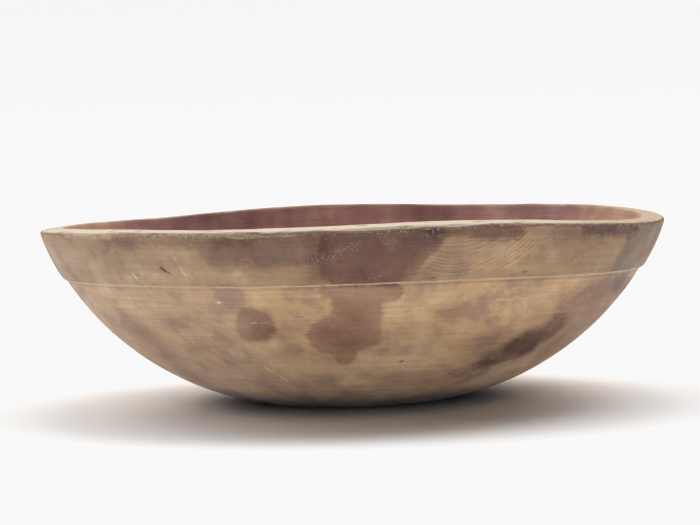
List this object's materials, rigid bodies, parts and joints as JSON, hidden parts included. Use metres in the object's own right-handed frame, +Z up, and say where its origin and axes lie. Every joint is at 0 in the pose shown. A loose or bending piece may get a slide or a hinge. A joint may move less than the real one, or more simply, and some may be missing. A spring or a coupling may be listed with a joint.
{
  "type": "dough bowl",
  "caption": "Wide shallow wooden bowl turned from one block, with a thick rim, a raised turned band below it and a small flat foot, for mixing and raising dough.",
  "frame": {"origin": "middle of the flat foot, on the surface the bowl stands on", "axes": "+Z up along the turning axis, out of the mouth; +X along the grain, the bowl's longer width; +Y across the grain"},
  "size_m": [0.4068, 0.3904, 0.1231],
  "materials": {
    "turned_wood": "old bare wood, worn smooth, stained and dry"
  },
  "bodies": {
    "root": {"bowl": "turned_wood"}
  },
  "joints": []
}
